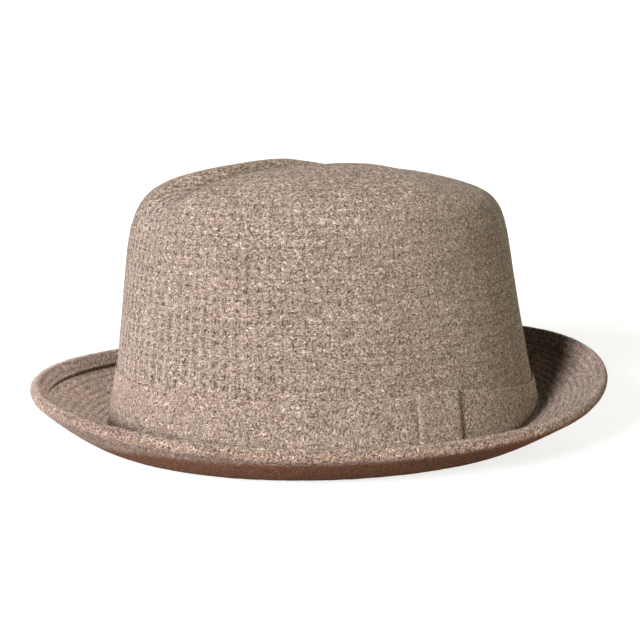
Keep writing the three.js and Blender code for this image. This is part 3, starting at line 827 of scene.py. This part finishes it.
class Nodes:
    """Short names for building a material's node tree."""

    def __init__(self, name):
        self.material = bpy.data.materials.new(name)
        self.material.use_nodes = True
        self.tree = self.material.node_tree
        self.tree.nodes.clear()
        self.shader = self.new("BsdfPrincipled")
        self.new("OutputMaterial", Surface=self.shader.outputs["BSDF"])

    def new(self, kind, **inputs):
        """A node with some inputs filled in. They go by their names, with _ for each space."""
        node = self.tree.nodes.new("ShaderNode" + kind)
        self.fill(node, inputs)
        return node

    def fill(self, node, inputs):
        for name, value in inputs.items():
            self.put(value, node.inputs[name.replace("_", " ")])

    def put(self, value, socket):
        if isinstance(value, bpy.types.NodeSocket):
            self.tree.links.new(value, socket)
        elif value is not None:
            socket.default_value = value

    def put_color(self, value, socket):
        self.put((*value, 1) if isinstance(value, tuple) else value, socket)

    def place(self, scale=(1, 1, 1), shift=(0, 0, 0)):
        """Positions on the object, in metres, scaled and shifted."""
        place = self.new("TexCoord").outputs["Object"]
        return self.new("Mapping", Scale=scale, Location=shift, Vector=place).outputs["Vector"]

    def attribute(self, name):
        """The three numbers of a mesh attribute."""
        read = self.new("Attribute")
        read.attribute_name = name
        split = self.new("SeparateXYZ", Vector=read.outputs["Vector"])
        return split.outputs["X"], split.outputs["Y"], split.outputs["Z"]

    def noise(self, size, vector=None, detail=2.0, roughness=0.5, distortion=0.0):
        """Noise with features about as wide as size, in metres."""
        texture = self.new(
            "TexNoise", Vector=vector or self.place(), Scale=1 / size,
            Detail=detail, Roughness=roughness, Distortion=distortion,
        )
        return texture.outputs["Fac"]

    def noise_ramp(self, size, low, high, to_low=0.0, to_high=1.0, detail=2.0):
        return self.ramp(self.noise(size, detail=detail), low, high, to_low, to_high)

    def math(self, operation, first, second=None, third=None):
        node = self.new("Math")
        node.operation = operation
        for value, socket in zip((first, second, third), node.inputs):
            self.put(value, socket)
        return node.outputs["Value"]

    def times(self, first, second):
        return self.math("MULTIPLY", first, second)

    def from_half(self, value):
        """How far a number's fraction is from a half: 0 midway between whole numbers."""
        return self.math("ABSOLUTE", self.math("SUBTRACT", self.math("FRACT", value), 0.5))

    def ramp(self, value, low, high, to_low=0.0, to_high=1.0):
        node = self.new(
            "MapRange", Value=value, From_Min=low, From_Max=high, To_Min=to_low, To_Max=to_high
        )
        node.interpolation_type = "SMOOTHSTEP"
        return node.outputs["Result"]

    def blend(self, share, first, second):
        node = self.new("Mix")
        node.data_type = "RGBA"
        self.put(share, node.inputs["Factor"])
        self.put_color(first, node.inputs["A"])
        self.put_color(second, node.inputs["B"])
        return node.outputs["Result"]

    def bump(self, height, distance, strength):
        node = self.new("Bump", Height=height, Distance=distance, Strength=strength)
        return node.outputs["Normal"]

    def finish(self, color, roughness, normal=None, **inputs):
        """Fills in the shader and gives the material."""
        self.put_color(color, self.shader.inputs["Base Color"])
        self.fill(self.shader, {"Roughness": roughness, "Normal": normal, **inputs})
        return self.material


def worms(nodes, size, width, shift, stretch):
    """Curly threads: 1 along the middle contour of a noise, 0 away from it."""
    field = nodes.noise(size, nodes.place(stretch, shift), detail=1.0, distortion=0.6)
    away = nodes.math("ABSOLUTE", nodes.math("SUBTRACT", field, 0.5))
    return nodes.ramp(away, 0, width, 1, 0)


def heather(nodes, middle=FELT_MIDDLE, light=FELT_LIGHT, dark=FELT_DARK, stretch=(1, 1, 1)):
    """Felted wool of mixed fibres. Gives its colour and its height."""
    grain = nodes.noise(0.0009, nodes.place(stretch), detail=3, roughness=0.6)
    pale = worms(nodes, 0.0017, 0.048, (0.31, 0.12, 0.47), stretch)
    pale_fine = worms(nodes, 0.0012, 0.055, (1.7, 2.2, 0.9), stretch)
    deep = worms(nodes, 0.0013, 0.055, (2.3, 0.7, 1.1), stretch)
    patches = nodes.ramp(nodes.noise(0.0034, nodes.place((1, 1, 1), (3, 1, 2))), 0.38, 0.64)
    color = nodes.blend(nodes.ramp(grain, 0.36, 0.57), dark, middle)
    color = nodes.blend(nodes.times(pale_fine, 0.6), color, light)
    shaded = nodes.times(deep, nodes.math("MULTIPLY_ADD", patches, 0.4, 0.5))
    color = nodes.blend(shaded, color, dark)
    color = nodes.blend(nodes.times(pale, 0.9), color, light)
    color = nodes.blend(nodes.noise_ramp(0.02, 0.3, 0.7, 0.1, 0, detail=3), color, dark)
    height = nodes.math("ADD", nodes.times(pale, 0.9), nodes.times(grain, 0.8))
    height = nodes.math("ADD", height, nodes.times(pale_fine, 0.4))
    height = nodes.math("SUBTRACT", height, nodes.times(deep, 0.7))
    return color, height


def felt_finish(nodes, color, height, strength):
    return nodes.finish(
        color, FELT_ROUGHNESS, nodes.bump(height, FELT_RELIEF, strength),
        Sheen_Weight=0.05, Sheen_Roughness=0.5, Specular_IOR_Level=0.15,
    )


def knit_marks(nodes):
    """The knit's little upright dents with faint rungs, darkened with painted shade, and the pale
    strokes of its ribs.
    """
    across, along, strength = nodes.attribute("weave")
    wander = nodes.noise(0.006)
    across = nodes.math("ADD", across, nodes.times(wander, 0.45))
    along = nodes.math("ADD", along, nodes.times(wander, 0.35))
    wale, course = nodes.from_half(across), nodes.from_half(along)
    dash = nodes.times(nodes.ramp(wale, 0.02, 0.075, 1, 0), nodes.ramp(course, 0.1, 0.32, 1, 0))
    rung = nodes.times(nodes.ramp(course, 0.02, 0.08, 1, 0), 0.4)
    patchy = nodes.noise_ramp(0.0045, 0.3, 0.48, detail=1)
    shaded_dent = nodes.times(nodes.math("MAXIMUM", dash, rung), patchy)
    rib = nodes.times(nodes.ramp(wale, 0.38, 0.46), nodes.ramp(course, 0.2, 0.42, 1, 0))
    stroke = nodes.ramp(strength, 0.7, 1.0)
    return nodes.times(shaded_dent, strength), nodes.times(rib, stroke)


def crown_felt():
    nodes = Nodes("heathered_felt_knit")
    color, height = heather(nodes, stretch=(0.8, 0.8, 1.25))
    shaded_dent, rib = knit_marks(nodes)
    color = nodes.blend(nodes.times(rib, 0.6), color, FELT_LIGHT)
    # The knit's dents and rungs are darkened: painted shade.
    color = nodes.blend(shaded_dent, color, DENT_SHADE_COLOR)
    height = nodes.math("SUBTRACT", height, nodes.times(shaded_dent, 1.3))
    return felt_finish(nodes, color, height, 0.85)


def painted_bounce_felt(nodes, deep):
    """Colour of the rim, which turns with a ragged edge to rust brown under the brim: painted warm
    reflection and shade.
    """
    ragged = nodes.math("MULTIPLY_ADD", nodes.noise(0.002), 1.0, -0.5)
    deep = nodes.ramp(nodes.math("ADD", deep, ragged), 0.1, 0.9)
    middle = nodes.blend(deep, RIM_MIDDLE, PAINTED_BOUNCE_MIDDLE)
    light = nodes.blend(deep, RIM_LIGHT, PAINTED_BOUNCE_LIGHT)
    color, _ = heather(nodes, middle, light, PAINTED_BOUNCE_DARK)
    return color


def brim_felt():
    """Heathered felt with concentric rows, their grooves darkened with painted shade, and a
    rust-brown underside of painted warm reflection and shade that begins at a fringe.
    """
    nodes = Nodes("heathered_felt_brim")
    color, height = heather(nodes)
    deep, along, below = nodes.attribute("weave")
    # The grooves between the concentric rows are darkened: painted shade.
    row = nodes.ramp(nodes.from_half(along), 0.1, 0.3, 1, 0)
    patchy = nodes.noise_ramp(0.007, 0.35, 0.6, 0.1, 0.45)
    color = nodes.blend(nodes.times(row, patchy), color, FELT_DARK)
    fringe = nodes.math("MULTIPLY_ADD", nodes.noise(0.0014), 2.0, -1.0)
    below = nodes.ramp(nodes.math("ADD", below, fringe), 0.15, 0.5)
    # Under the brim the colour turns to painted warm reflection and shade.
    color = nodes.blend(below, color, painted_bounce_felt(nodes, deep))
    return felt_finish(nodes, color, height, 0.8)


def band_felt():
    nodes = Nodes("heathered_felt_band")
    color, height = heather(nodes)
    return felt_finish(nodes, color, height, 0.8)


def brown_satin():
    nodes = Nodes("brown_satin")
    streak = nodes.noise(0.0007, nodes.place((1, 1, 0.08)), detail=3)
    ribs = nodes.noise(0.00035, nodes.place((1, 1, 0.15)), detail=1)
    color = nodes.blend(nodes.ramp(streak, 0.3, 0.7), *SATIN_COLORS)
    color = nodes.blend(nodes.noise_ramp(0.03, 0.35, 0.7, 0, 0.4), color, SATIN_CLOUD)
    return nodes.finish(
        color, nodes.ramp(streak, 0.2, 0.8, 0.3, 0.46), nodes.bump(ribs, 0.00008, 0.6),
        Anisotropic=0.5, Sheen_Weight=0.1, Specular_IOR_Level=0.5,
    )


def brown_leather():
    nodes = Nodes("brown_leather")
    cells = nodes.new("TexVoronoi", Vector=nodes.place(), Scale=1100)
    cells.feature = "DISTANCE_TO_EDGE"
    grain = nodes.ramp(cells.outputs["Distance"], 0.0, 0.12)
    cloud = nodes.noise(0.012, detail=4)
    color = nodes.blend(nodes.ramp(cloud, 0.3, 0.72), *LEATHER_COLORS)
    color = nodes.blend(nodes.times(grain, 0.6), LEATHER_LINES, color)
    roughness = nodes.ramp(cloud, 0.25, 0.75, 0.38, 0.56)
    normal = nodes.bump(grain, 0.00012, 0.6)
    return nodes.finish(color, roughness, normal, Specular_IOR_Level=0.45)


def stripes(nodes, direction, per_metre):
    """Soft stripes for twisted and woven yarns."""
    wave = nodes.new("TexWave", Vector=nodes.place(), Scale=per_metre)
    wave.bands_direction = direction
    return wave.outputs["Fac"]


def brown_thread():
    nodes = Nodes("brown_thread")
    twist = stripes(nodes, "DIAGONAL", 900)
    color = nodes.blend(twist, *THREAD_COLORS)
    return nodes.finish(color, 0.75, nodes.bump(twist, 0.0001, 0.8), Sheen_Weight=0.2)


def woven_tab():
    """A blank woven tab: fine crossed yarns, off-white."""
    nodes = Nodes("woven_tab")
    height = nodes.times(stripes(nodes, "X", 500), stripes(nodes, "Z", 500))
    color = nodes.blend(height, *TAB_COLORS)
    return nodes.finish(color, 0.8, nodes.bump(height, 0.0001, 0.7), Sheen_Weight=0.2)


def dark_piping():
    nodes = Nodes("dark_piping")
    grain = nodes.noise(0.0006)
    color = nodes.blend(nodes.ramp(grain, 0.3, 0.7), *REED_COLORS)
    roughness = nodes.ramp(grain, 0.2, 0.8, 0.38, 0.55)
    return nodes.finish(color, roughness, nodes.bump(grain, 0.00005, 0.5), Specular_IOR_Level=0.4)


def steel_wire():
    nodes = Nodes("steel_wire")
    grain = nodes.noise(0.0008, nodes.place((1, 1, 6)))
    color = nodes.blend(nodes.ramp(grain, 0.3, 0.7), *WIRE_COLORS)
    return nodes.finish(color, nodes.ramp(grain, 0.2, 0.8, 0.28, 0.42), Metallic=1.0)


def wear(piece, material):
    piece.data.materials.clear()
    piece.data.materials.append(material)


def paint_node(node, material):
    """A kept CAD piece gets a better material."""
    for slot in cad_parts[node].material_slots:
        slot.material = material


# ---------------- stage, camera, lights


def view_axes(azimuth, elevation):
    """Right, up and towards the viewer. Azimuth 0 looks along +Y."""
    toward = Vector((
        math.sin(azimuth) * math.cos(elevation),
        -math.cos(azimuth) * math.cos(elevation),
        math.sin(elevation),
    ))
    right = Vector((math.cos(azimuth), math.sin(azimuth), 0))
    return right, toward.cross(right), toward


def stand(item, right, up, toward, place):
    """Puts a camera or a lamp at a place, to face the other way from toward."""
    turned = Matrix((right, up, toward)).transposed().to_4x4()
    item.matrix_world = Matrix.Translation(place) @ turned
    bpy.context.collection.objects.link(item)


def add_camera():
    right, up, toward = view_axes(CAMERA_AZIMUTH, CAMERA_ELEVATION)
    aim = Vector((0, 0, AIM_HEIGHT)) + AIM_RIGHT * right + AIM_UP * up
    rolled = right * math.cos(CAMERA_ROLL) + up * math.sin(CAMERA_ROLL)
    data = bpy.data.cameras.new("camera")
    data.lens = CAMERA_LENS
    data.sensor_width = CAMERA_SENSOR
    data.clip_start = 0.01
    camera = bpy.data.objects.new("camera", data)
    stand(camera, rolled, toward.cross(rolled), toward, aim + CAMERA_DISTANCE * toward)
    bpy.context.scene.camera = camera


def add_lamp(name, kind, azimuth, elevation, target, distance, strength, color):
    """A lamp aimed at a target from an azimuth and elevation in degrees."""
    right, up, toward = view_axes(math.radians(azimuth), math.radians(elevation))
    data = bpy.data.lights.new(name, kind)
    data.energy = strength
    data.color = color
    lamp = bpy.data.objects.new(name, data)
    stand(lamp, right, up, toward, Vector(target) + toward * distance)
    return data


def add_sun(name, azimuth, elevation, spread, strength, color):
    """A far soft light with a spread in degrees."""
    data = add_lamp(name, "SUN", azimuth, elevation, (0, 0, 0), 0, strength, color)
    data.angle = math.radians(spread)


def add_spot(name, azimuth, elevation, target, cone, power, color):
    """A narrow lamp near the hat. Its cone is in degrees, its power in watts."""
    data = add_lamp(name, "SPOT", azimuth, elevation, target, SPOT_DISTANCE, power, color)
    data.spot_size = math.radians(cone)
    data.spot_blend = 1.0
    data.shadow_soft_size = SPOT_RADIUS


def add_world():
    """A pale surround that is bright to look at and lights the hat only gently."""
    world = bpy.data.worlds.new("studio")
    world.use_nodes = True
    nodes, links = world.node_tree.nodes, world.node_tree.links
    path = nodes.new("ShaderNodeLightPath")
    strength = nodes.new("ShaderNodeMapRange")
    strength.inputs["To Min"].default_value = SURROUND_CAST
    strength.inputs["To Max"].default_value = SURROUND_SEEN
    links.new(path.outputs["Is Camera Ray"], strength.inputs["Value"])
    nodes["Background"].inputs["Color"].default_value = SURROUND_COLOR
    links.new(strength.outputs["Result"], nodes["Background"].inputs["Strength"])
    bpy.context.scene.world = world


def add_floor():
    """A pale floor. It glows for the eye, and throws only a little of that up at the hat."""
    nodes = Nodes("pale_floor")
    color = nodes.blend(nodes.noise_ramp(0.4, 0.3, 0.7), *FLOOR_COLORS)
    seen = nodes.new("LightPath").outputs["Is Camera Ray"]
    glow = nodes.math("MULTIPLY_ADD", seen, FLOOR_SEEN - FLOOR_CAST, FLOOR_CAST)
    nodes.finish(color, 0.9, Emission_Color=SURROUND_COLOR, Emission_Strength=glow)
    turn = around_angles(FLOOR_SIDES)
    x, y = FLOOR_RADIUS * np.cos(turn), FLOOR_RADIUS * np.sin(turn)
    edge = np.stack([x, y, np.full(FLOOR_SIDES, -FLOOR_DROP)], axis=-1)
    floor = make_mesh("floor", edge, [list(range(FLOOR_SIDES))])
    wear(floor, nodes.material)


def add_studio():
    """Three soft suns, from the front, the wearer's left and behind, and two spots at the brim."""
    add_world()
    add_floor()
    add_sun("key", 18, 20, spread=15, strength=6.05, color=(1.0, 0.975, 0.985))
    add_sun("right_fill", 116, 24, spread=35, strength=1.15, color=(1.0, 0.98, 0.7))
    add_sun("back_fill", 212, 20, spread=30, strength=1.1, color=(1.0, 0.97, 0.93))
    add_spot("brim_top", 218, 50, BRIM_TOP_TARGET, cone=15, power=30, color=(1.0, 0.95, 0.93))
    add_spot("brim_rim", -8, 4, BRIM_RIM_TARGET, cone=9, power=42, color=(1.0, 0.93, 0.9))
    bpy.context.scene.view_settings.view_transform = "Standard"


# ---------------- the hat


def finish_piece(piece, material):
    wear(piece, material)
    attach(piece, "root")
    return piece


def build_cloth():
    """The cloth pieces."""
    felt, band_cloth, satin = crown_felt(), band_felt(), brown_satin()
    piece = finish_piece(crown(), felt)
    piece = finish_piece(brim(), brim_felt())
    piece = finish_piece(hat_band(), band_cloth)
    piece = finish_piece(band_keeper(), band_cloth)
    piece = finish_piece(lining_side(), satin)
    piece = finish_piece(lining_tip(), satin)
    knot = finish_piece(bow_knot(), satin)
    piece = finish_piece(sweatband_bow(), satin)
    piece = finish_piece(size_tab(), woven_tab())


def build_hat():
    build_cloth()
    piece = finish_piece(sweatband(), brown_leather())
    thread = brown_thread()
    for node in ("hem_thread", "headline_seam", "band_stitching", "sweatband_stitching"):
        paint_node(node, thread)
    paint_node("lining_seam", bpy.data.materials["brown_satin"])
    paint_node("sweatband_reed", dark_piping())
    paint_node("brim_wire", steel_wire())


build_hat()
add_camera()
add_studio()
